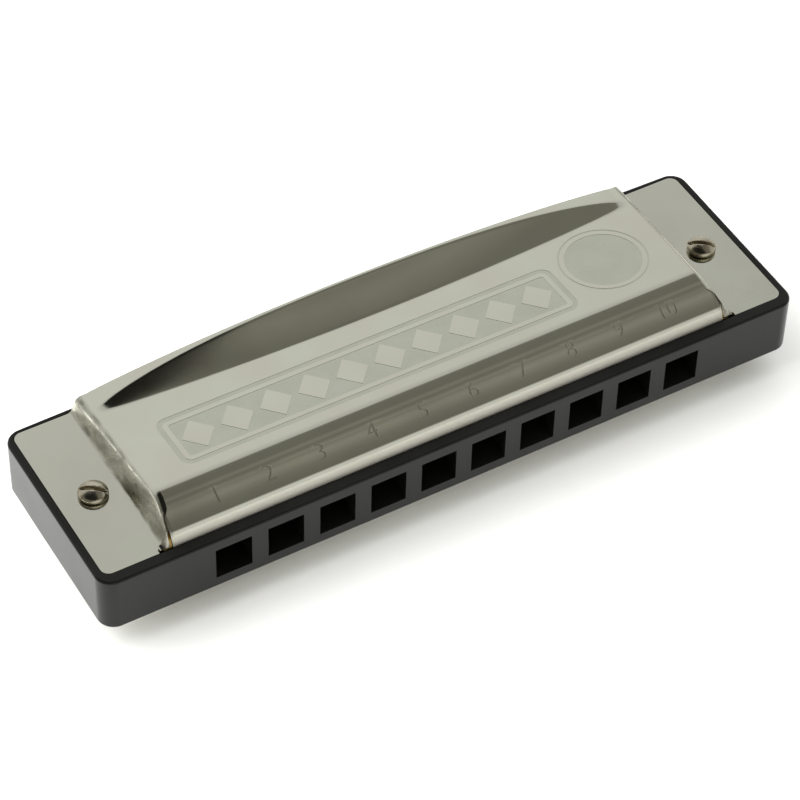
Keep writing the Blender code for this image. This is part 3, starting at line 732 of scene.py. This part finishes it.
def sheet_solid(bm):
    """Give the outer face the sheet's thickness, round the tabs' corners, bore it and break its edges."""
    mesh = bpy.data.meshes.new("sheet")
    bm.to_mesh(mesh)
    bm.free()
    made = bpy.data.objects.new("sheet", mesh)
    bpy.context.scene.collection.objects.link(made)
    wall = made.modifiers.new("sheet", "SOLIDIFY")
    wall.thickness = SHEET
    wall.offset = -1
    wall.use_even_offset = True
    solid = read_back(made)
    around = block((-2 * TAB_END, LIP_Y - 5, FACE - 1), (2 * TAB_END, COVER_REAR + 5, FACE + 1))
    inside = block((-TAB_END, LIP_Y, FACE - 2), (TAB_END, COVER_REAR, FACE + 2), TAB_CORNER, 8)
    solid = carved(solid, carved(around, inside))
    solid = carved(solid, merged(screw_bores(0, 2 * FACE)))
    rims = [e for e in solid.edges if e.is_manifold and e.calc_face_angle() > math.radians(60)]
    bmesh.ops.bevel(solid, geom=rims, offset=SHEET_BREAK, segments=2, profile=0.5, affect="EDGES",
                    material=-1, clamp_overlap=True)
    return solid


def numeral(text):
    """A numeral as a thin solid about the origin, in millimetres, facing +Z."""
    curve = bpy.data.curves.new("numeral", "FONT")
    curve.body = text
    curve.size = NUMERAL_HEIGHT / NUMERAL_SHARE
    curve.align_x = "CENTER"
    curve.align_y = "CENTER"
    curve.extrude = 1.0
    curve.offset = NUMERAL_THINNING
    curve.resolution_u = 6
    made = bpy.data.objects.new("numeral", curve)
    bpy.context.scene.collection.objects.link(made)
    return outward(read_back(made))


def tilted(bm, point, slope):
    """Lay a cutter that was made flat on a sloping face, its underside MARK_DEPTH below that face."""
    turn = Matrix.Rotation(math.atan(slope), 4, "X")
    low = min(vert.co.z for vert in bm.verts)
    bmesh.ops.translate(bm, vec=(0, 0, -low - MARK_DEPTH), verts=bm.verts)
    bmesh.ops.transform(bm, matrix=Matrix.Translation(point) @ turn, verts=bm.verts)
    for face in bm.faces:
        face.material_index = 1
    return bm


def marks():
    """Engraved numerals over the holes, a frosted panel with a row of bright lozenges, and a plain ring."""
    slope = (CREASE_RISE - LIP_RISE) / (CREASE_SETBACK - LIP_SETBACK)
    y = (CREASE_Y + LIP_Y + LIP_SETBACK) / 2
    rise = (CREASE_RISE + LIP_RISE) / 2 + FACE
    made = [tilted(numeral(str(hole)), Vector((hole_x(hole), y, rise)), slope) for hole in HOLES]
    left, front, right, rear = PANEL
    panel = block((left, front, 0), (right, rear, 1), PANEL_CORNER, 10)
    inset = PANEL_BORDER
    line = block((left + inset, front + inset, -1), (right - inset, rear - inset, 2),
                 PANEL_CORNER - inset, 10)
    core = block((left + 2 * inset, front + 2 * inset, 0), (right - 2 * inset, rear - 2 * inset, 1),
                 CORE_CORNER, 6)
    panel = carved(panel, line)
    width = (right - left - 4 * inset) / LOZENGES
    gems = []
    for number in range(LOZENGES):
        gem = rod(0, 0, -1, 2, 1.0, 4)
        bmesh.ops.scale(gem, vec=(width * LOZENGE_FILL, LOZENGE_REACH, 1), verts=gem.verts)
        x = left + 2 * inset + width * (number + 0.5)
        bmesh.ops.translate(gem, vec=(x, (front + rear) / 2, 0), verts=gem.verts)
        gems.append(gem)
    core = carved(core, merged(gems))
    point = Vector((0, 0, top_rise(0) + FACE))
    made += [tilted(panel, point, -TOP_FALL), tilted(core, point, -TOP_FALL)]
    spot = Vector((*RING_PLACE, top_rise(RING_PLACE[1]) + FACE))
    ring = carved(rod(0, 0, 0, 1, RING_RADIUS, 96), rod(0, 0, -1, 2, RING_RADIUS - RING_LINE, 96))
    disc = rod(0, 0, 0, 1, RING_RADIUS - RING_GAP, 96)
    made += [tilted(ring, spot, -TOP_FALL), tilted(disc, spot, -TOP_FALL)]
    return merged(made)


def make_cover(upper):
    """The engraved upper cover, or the same shape turned over and plain."""
    name = "upper" if upper else "lower"
    solid = sheet_solid(cover_sheet())
    if upper:
        solid = carved(solid, marks(), (STEEL, ETCHED))
    else:
        bmesh.ops.rotate(solid, matrix=Matrix.Rotation(math.pi, 3, "Y"), verts=solid.verts)
    cover = placed(f"pressed_{name}_cover", solid, (STEEL, ETCHED), (0, 0, MID_Z), 40)
    even_shading(cover)
    return stand_for(cover, f"{name}_cover")


# ---------------------------------------------------------------- plates, reeds and rivets


def make_plate(name, kind):
    """Brass plate with broken edges, a slot for each reed and bores for the screws."""
    low, high = cad_box(name)
    body = block(low, high, TAB_CORNER, 8, 0.0, PLATE_EDGE)
    slots = []
    for hole in HOLES:
        reed_low, reed_high = cad_box(f"{kind}_reed_{hole}")
        x = (reed_low.x + reed_high.x) / 2
        front = reed_low.y + HEEL_LENGTH + ROOT_TAPER
        half = REED_WIDTH / 2 + SLOT_SIDE
        slots.append(block((x - half, front, low.z - 1), (x + half, reed_high.y + SLOT_TIP, high.z + 1),
                           SLOT_CORNER, 2))
    slots += screw_bores(low.z - 1, high.z + 1)
    plate = placed(f"rolled_{name}", carved(body, merged(slots)), PLATE_BRASS)
    return stand_for(plate, name)


def make_reed(kind, hole):
    """A heel that seats on the plate and a milled tongue that runs from its root to its tip."""
    name = f"{kind}_reed_{hole}"
    low, high = cad_box(name)
    x = (low.x + high.x) / 2
    root = low.y + HEEL_LENGTH
    under, top = low.z, low.z + REED_THICKNESS
    bm = bmesh.new()
    bmesh.ops.create_grid(bm, x_segments=4, y_segments=36, size=0.5)
    span = high.y - root - ROOT_TAPER
    for vert in bm.verts:
        y = root + ROOT_TAPER + (vert.co.y + 0.5) * span
        vert.co = Vector((x + vert.co.x * REED_WIDTH, y, under))
    start = [e for e in bm.edges if all(abs(v.co.y - root - ROOT_TAPER) < 0.001 for v in e.verts)]
    cut_length, cut_width = HEEL_CHAMFER
    for reach, width in ((ROOT_TAPER, HEEL_WIDTH), (HEEL_STEP, HEEL_WIDTH),
                         (HEEL_LENGTH - HEEL_STEP - cut_length, HEEL_WIDTH),
                         (cut_length, HEEL_WIDTH - 2 * cut_width)):
        new = bmesh.ops.extrude_edge_only(bm, edges=start)["geom"]
        verts = [v for v in new if isinstance(v, bmesh.types.BMVert)]
        old = max(v.co.x for v in verts) - min(v.co.x for v in verts)
        bmesh.ops.translate(bm, vec=(0, -reach, 0), verts=verts)
        for vert in verts:
            vert.co.x = x + (vert.co.x - x) * width / old
        start = [e for e in new if isinstance(e, bmesh.types.BMEdge) and all(v in verts for v in e.verts)]
    made = bmesh.ops.extrude_face_region(bm, geom=bm.faces[:])["geom"]
    lifted = [v for v in made if isinstance(v, bmesh.types.BMVert)]
    for vert in lifted:
        share = (vert.co.y - root - ROOT_TAPER) / span
        if vert.co.y < root - HEEL_STEP / 2:
            vert.co.z = top + REED_OFFSET - HEEL_GAP
        else:
            vert.co.z = top - MILLED_DEPTH * math.sin(math.pi * min(max(share, 0), 1)) ** 2
    bmesh.ops.recalc_face_normals(bm, faces=bm.faces)
    rims = [e for e in bm.edges if e.is_manifold and e.calc_face_angle() > math.radians(50)]
    bmesh.ops.bevel(bm, geom=rims, offset=0.025, segments=1, profile=0.5, affect="EDGES", material=-1)
    reed = placed(f"milled_{name}", bm, REED_BRASS)
    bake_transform(reed)
    return stand_for(reed, name, None)


def make_rivet(kind, hole):
    """Domed head against the heel and an upset end on the plate's far side."""
    name = f"{kind}_rivet_{hole}"
    low, high = cad_box(name)
    plate = KINDS[kind]
    seat = plate - REED_OFFSET - REED_THICKNESS
    x = hole_x(hole)
    y = cad_box(f"{kind}_reed_{hole}")[0].y + RIVET_SETBACK
    upset = high.z - 0.17
    profile = dome(RIVET_HEAD_RADIUS, seat - 0.12, -0.3, 6)
    profile += [(RIVET_HEAD_RADIUS, seat), (RIVET_RADIUS, seat), (RIVET_RADIUS, upset), (UPSET_RADIUS, upset)]
    profile += reversed(dome(UPSET_RADIUS, high.z - 0.15, 0.15, 4))
    rivet = placed(f"peened_{name}", turned(profile, 20), REED_BRASS, (x, y, 0), 50)
    return stand_for(rivet, name)


# ---------------------------------------------------------------- screws and nuts


def slotted(profile, slot_size, turn, sides):
    """A turned screw with a slot across its domed head, which points up."""
    width, depth = slot_size
    top = max(height for _, height in profile)
    reach = 2 * max(radius for radius, _ in profile)
    slot = block((-reach, -width / 2, top - depth), (reach, width / 2, top + depth))
    bmesh.ops.rotate(slot, matrix=Matrix.Rotation(math.radians(turn), 3, "Z"), verts=slot.verts)
    screw = carved(turned(profile, sides), slot)
    rims = [e for e in screw.edges if e.is_manifold and e.calc_face_angle() > math.radians(50)
            and min(v.co.z for v in e.verts) > top - depth - 0.02]
    bmesh.ops.bevel(screw, geom=rims, offset=0.04, segments=2, profile=0.5, affect="EDGES", material=-1)
    return screw


def make_cover_screw(side):
    """Cheese head with a domed top, and a threaded end that stands a little out of its nut."""
    name = f"cover_screw_{side}"
    low, high = cad_box(name)
    seat = high.z - SCREW_HEAD_HEIGHT
    side_height, chamfer = 0.45, 0.08
    profile = dome(SCREW_HEAD_RADIUS, seat + side_height, SCREW_HEAD_HEIGHT - side_height, 10)
    thread = low.z + THREAD_LENGTH
    profile += [(SCREW_HEAD_RADIUS, seat + chamfer), (SCREW_HEAD_RADIUS - chamfer, seat)]
    profile += [(SCREW_RADIUS, seat), (SCREW_RADIUS, thread)]
    while thread - THREAD_PITCH > low.z + 0.1:
        profile += [(SCREW_RADIUS - THREAD_DEPTH, thread - THREAD_PITCH / 2),
                    (SCREW_RADIUS, thread - THREAD_PITCH)]
        thread -= THREAD_PITCH
    profile += [(SCREW_RADIUS - 0.2, low.z), (0, low.z)]
    screw = slotted(profile, SCREW_SLOT, SLOT_TURN, 48)
    place = ((low.x + high.x) / 2, (low.y + high.y) / 2, 0)
    return stand_for(placed(f"turned_{name}", screw, NICKEL, place, 50), name)


def make_nut(side):
    """Hexagon nut with its corners turned off."""
    name = f"cover_nut_{side}"
    low, high = cad_box(name)
    height = high.z - low.z
    radius = NUT_FLATS / math.sqrt(3)
    bm = bmesh.new()
    bmesh.ops.create_cone(bm, cap_ends=True, segments=6, radius1=radius, radius2=radius, depth=height,
                          matrix=Matrix.Translation((0, 0, (low.z + high.z) / 2)))
    # The cutter is all round the nut, so its profile runs from the axis out, up and back under it.
    outer = turned([(0, low.z - 0.01), (NUT_FLATS / 2, low.z - 0.01), (radius + 0.1, low.z + 0.3),
                    (radius + 0.1, high.z + 1), (radius + 2, high.z + 1), (radius + 2, low.z - 1),
                    (0, low.z - 1)], 48)
    bm = carved(bm, outer)
    bm = carved(bm, rod(0, 0, low.z - 1, high.z + 1, SCREW_RADIUS + 0.06, 32))
    rims = [e for e in bm.edges if e.is_manifold and e.calc_face_angle() > math.radians(50)]
    bmesh.ops.bevel(bm, geom=rims, offset=0.05, segments=2, profile=0.5, affect="EDGES", material=-1)
    place = ((low.x + high.x) / 2, (low.y + high.y) / 2, 0)
    return stand_for(placed(f"pressed_{name}", bm, NICKEL, place, 30), name)


def make_plate_screw(which, number):
    """Small round-headed screw that holds a plate to the comb."""
    name = f"{which}_plate_screw_{number}"
    low, high = cad_box(name)
    length = high.z - low.z
    seat, tip = length - SMALL_HEAD_HEIGHT, 0.15
    profile = dome(SMALL_HEAD_RADIUS, length - 0.32, 0.32, 6)
    profile += [(SMALL_HEAD_RADIUS, seat), (SMALL_SHANK_RADIUS, seat), (SMALL_SHANK_RADIUS, tip),
                (SMALL_SHANK_RADIUS - tip, 0), (0, 0)]
    screw = slotted(profile, SMALL_SLOT, 25 * number, 24)
    up = which == "upper"
    if not up:
        bmesh.ops.rotate(screw, matrix=Matrix.Rotation(math.pi, 3, "X"), verts=screw.verts)
    place = ((low.x + high.x) / 2, (low.y + high.y) / 2, low.z if up else high.z)
    return stand_for(placed(f"turned_{name}", screw, NICKEL, place, 50), name)


# ---------------------------------------------------------------- light and camera

CAMERA_AZIMUTH = -31.23
CAMERA_ELEVATION = 46.83
CAMERA_ROLL = 1.68
CAMERA_DISTANCE = 418.9
CAMERA_AIM = Vector((0, -0.6, 9.13))
CAMERA_SIDE = -1.13                    # shift of the camera to its own right
CAMERA_UP = -1.18
LENS = 145.07

# The room round the object, by the unit vector of a direction
# Bands from front to rear: Y, and how bright the room is there
ROOM = ((-1.0, 0.95), (-0.8, 0.8), (-0.7, 0.36), (-0.6, 0.17), (-0.45, 0.22), (-0.33, 0.34), (-0.2, 0.19),
        (-0.04, 0.28), (0.1, 0.2), (0.5, 0.21), (0.54, 0.62), (0.62, 0.68), (0.71, 0.8), (1.0, 0.75))
# The dark corner fades in over these Z, X and Y
CORNER_Z = (0.7, 0.78)
CORNER_X = (0.258, 0.247)
CORNER_Y = (0.56, 0.5)
CORNER_DARKNESS = 0.93
# The pale right side fades in over these X
RIGHT_X = (0.58, 0.75)
RIGHT_COLOUR = (0.62, 0.62, 0.6, 1)


def from_angles(azimuth, elevation):
    """Unit vector towards a viewer: azimuth 0 is in front, at -Y, and grows towards +X."""
    a, e = math.radians(azimuth), math.radians(elevation)
    return Vector((math.sin(a) * math.cos(e), -math.cos(a) * math.cos(e), math.sin(e)))


def make_camera():
    """A long lens from the front left, above; the placing is in millimetres."""
    back = from_angles(CAMERA_AZIMUTH, CAMERA_ELEVATION)
    right = (-back).cross(Vector((0, 0, 1))).normalized()
    up = right.cross(-back)
    turn = Matrix((right, up, back)).transposed() @ Matrix.Rotation(math.radians(CAMERA_ROLL), 3, "Z")
    place = CAMERA_AIM + turn @ Vector((CAMERA_SIDE, CAMERA_UP, CAMERA_DISTANCE))
    data = bpy.data.cameras.new("camera")
    data.lens = LENS
    data.sensor_width = 36.0
    data.clip_start, data.clip_end = 0.01, 50.0
    camera = bpy.data.objects.new("camera", data)
    camera.matrix_world = Matrix.Translation(place * MM) @ turn.to_4x4()
    bpy.context.scene.collection.objects.link(camera)
    bpy.context.scene.camera = camera


def make_floor():
    """A wide sheet of plain pale paper."""
    bm = bmesh.new()
    bmesh.ops.create_grid(bm, x_segments=1, y_segments=1, size=3000)
    made, tree, shader, place = finish("pale_paper", Roughness=0.9)
    grain = node(tree, "ShaderNodeTexNoise", Vector=place, Scale=900.0).outputs[0]
    tree.links.new(mixed(tree, grain, linear("#F6F6F4"), linear("#F4F4F2")), shader.inputs["Base Color"])
    floor = placed("floor", bm, made)


def make_lamp(name, azimuth, elevation, distance, size, power):
    """A soft area lamp aimed at the origin; distances in metres. The steel doesn't mirror it."""
    data = bpy.data.lights.new(name, "AREA")
    data.shape = "RECTANGLE"
    data.size, data.size_y = size
    data.energy = power
    lamp = bpy.data.objects.new(name, data)
    away = from_angles(azimuth, elevation)
    lamp.location = away * distance
    lamp.rotation_mode = "QUATERNION"
    lamp.rotation_quaternion = away.to_track_quat("Z", "Y")
    lamp.visible_glossy = False
    bpy.context.scene.collection.objects.link(lamp)


def make_sky():
    """A soft room that the polished steel mirrors, so it is what shades the covers. The camera sees white.

    It is bright behind and dim overhead, with a pale right side and one dark corner high on the left.
    """
    world = bpy.data.worlds.new("soft_room")
    bpy.context.scene.world = world
    world.use_nodes = True
    tree = world.node_tree
    tree.nodes.clear()
    way = node(tree, "ShaderNodeTexCoord").outputs["Generated"]
    parts = node(tree, "ShaderNodeSeparateXYZ", Vector=way).outputs
    bands = node(tree, "ShaderNodeValToRGB", Fac=ramp(tree, parts["Y"], -1.0, 1.0))
    elements = bands.color_ramp.elements
    elements[0].position, elements[1].position = 0.0, 1.0
    for place, _ in ROOM[1:-1]:
        elements.new((place + 1) / 2)
    for element, (_, level) in zip(elements, ROOM):
        tint = (1.0, 0.98, 0.87) if level < 0.5 else (1.0, 1.01, 1.0)
        element.color = (*[level * part for part in tint], 1)
    soft = {"interpolation_type": "SMOOTHSTEP"}
    high = node(tree, "ShaderNodeMapRange", soft, Value=parts["Z"], From_Min=CORNER_Z[0],
                From_Max=CORNER_Z[1]).outputs["Result"]
    left = node(tree, "ShaderNodeMapRange", soft, Value=parts["X"], From_Min=CORNER_X[0],
                From_Max=CORNER_X[1], To_Min=0.0, To_Max=CORNER_DARKNESS).outputs["Result"]
    corner = times(tree, times(tree, high, ramp(tree, parts["Y"], *CORNER_Y)), left)
    shade = node(tree, "ShaderNodeMath", {"operation": "SUBTRACT"}, i0=1.0, i1=corner).outputs[0]
    walls = mixed(tree, ramp(tree, parts["X"], *RIGHT_X), bands.outputs["Color"], RIGHT_COLOUR)
    room = node(tree, "ShaderNodeBackground", Color=walls, Strength=shade)
    plain = node(tree, "ShaderNodeBackground", Color=(1, 1, 1, 1), Strength=1.0)
    seen = node(tree, "ShaderNodeLightPath").outputs["Is Camera Ray"]
    both = node(tree, "ShaderNodeMixShader", Fac=seen, i1=room.outputs[0], i2=plain.outputs[0])
    node(tree, "ShaderNodeOutputWorld", Surface=both.outputs[0])


def main():
    """The stage, then the pieces: every CAD node gets its finished piece."""
    make_camera()
    make_floor()
    make_sky()
    make_lamp("ceiling", 0, 90, 2.2, (4.0, 4.0), 72.0)
    make_lamp("key_left", 245, 45, 0.4, (0.45, 0.45), 2.2)
    bpy.context.scene.view_settings.view_transform = "Standard"
    make_comb()
    make_cover(True)
    make_cover(False)
    make_plate("upper_reed_plate", "blow")
    make_plate("lower_reed_plate", "draw")
    for kind in KINDS:
        for hole in HOLES:
            make_reed(kind, hole)
            make_rivet(kind, hole)
    for side in ("left", "right"):
        make_cover_screw(side)
        make_nut(side)
    for which in ("upper", "lower"):
        for number in range(1, 6):
            make_plate_screw(which, number)


main()
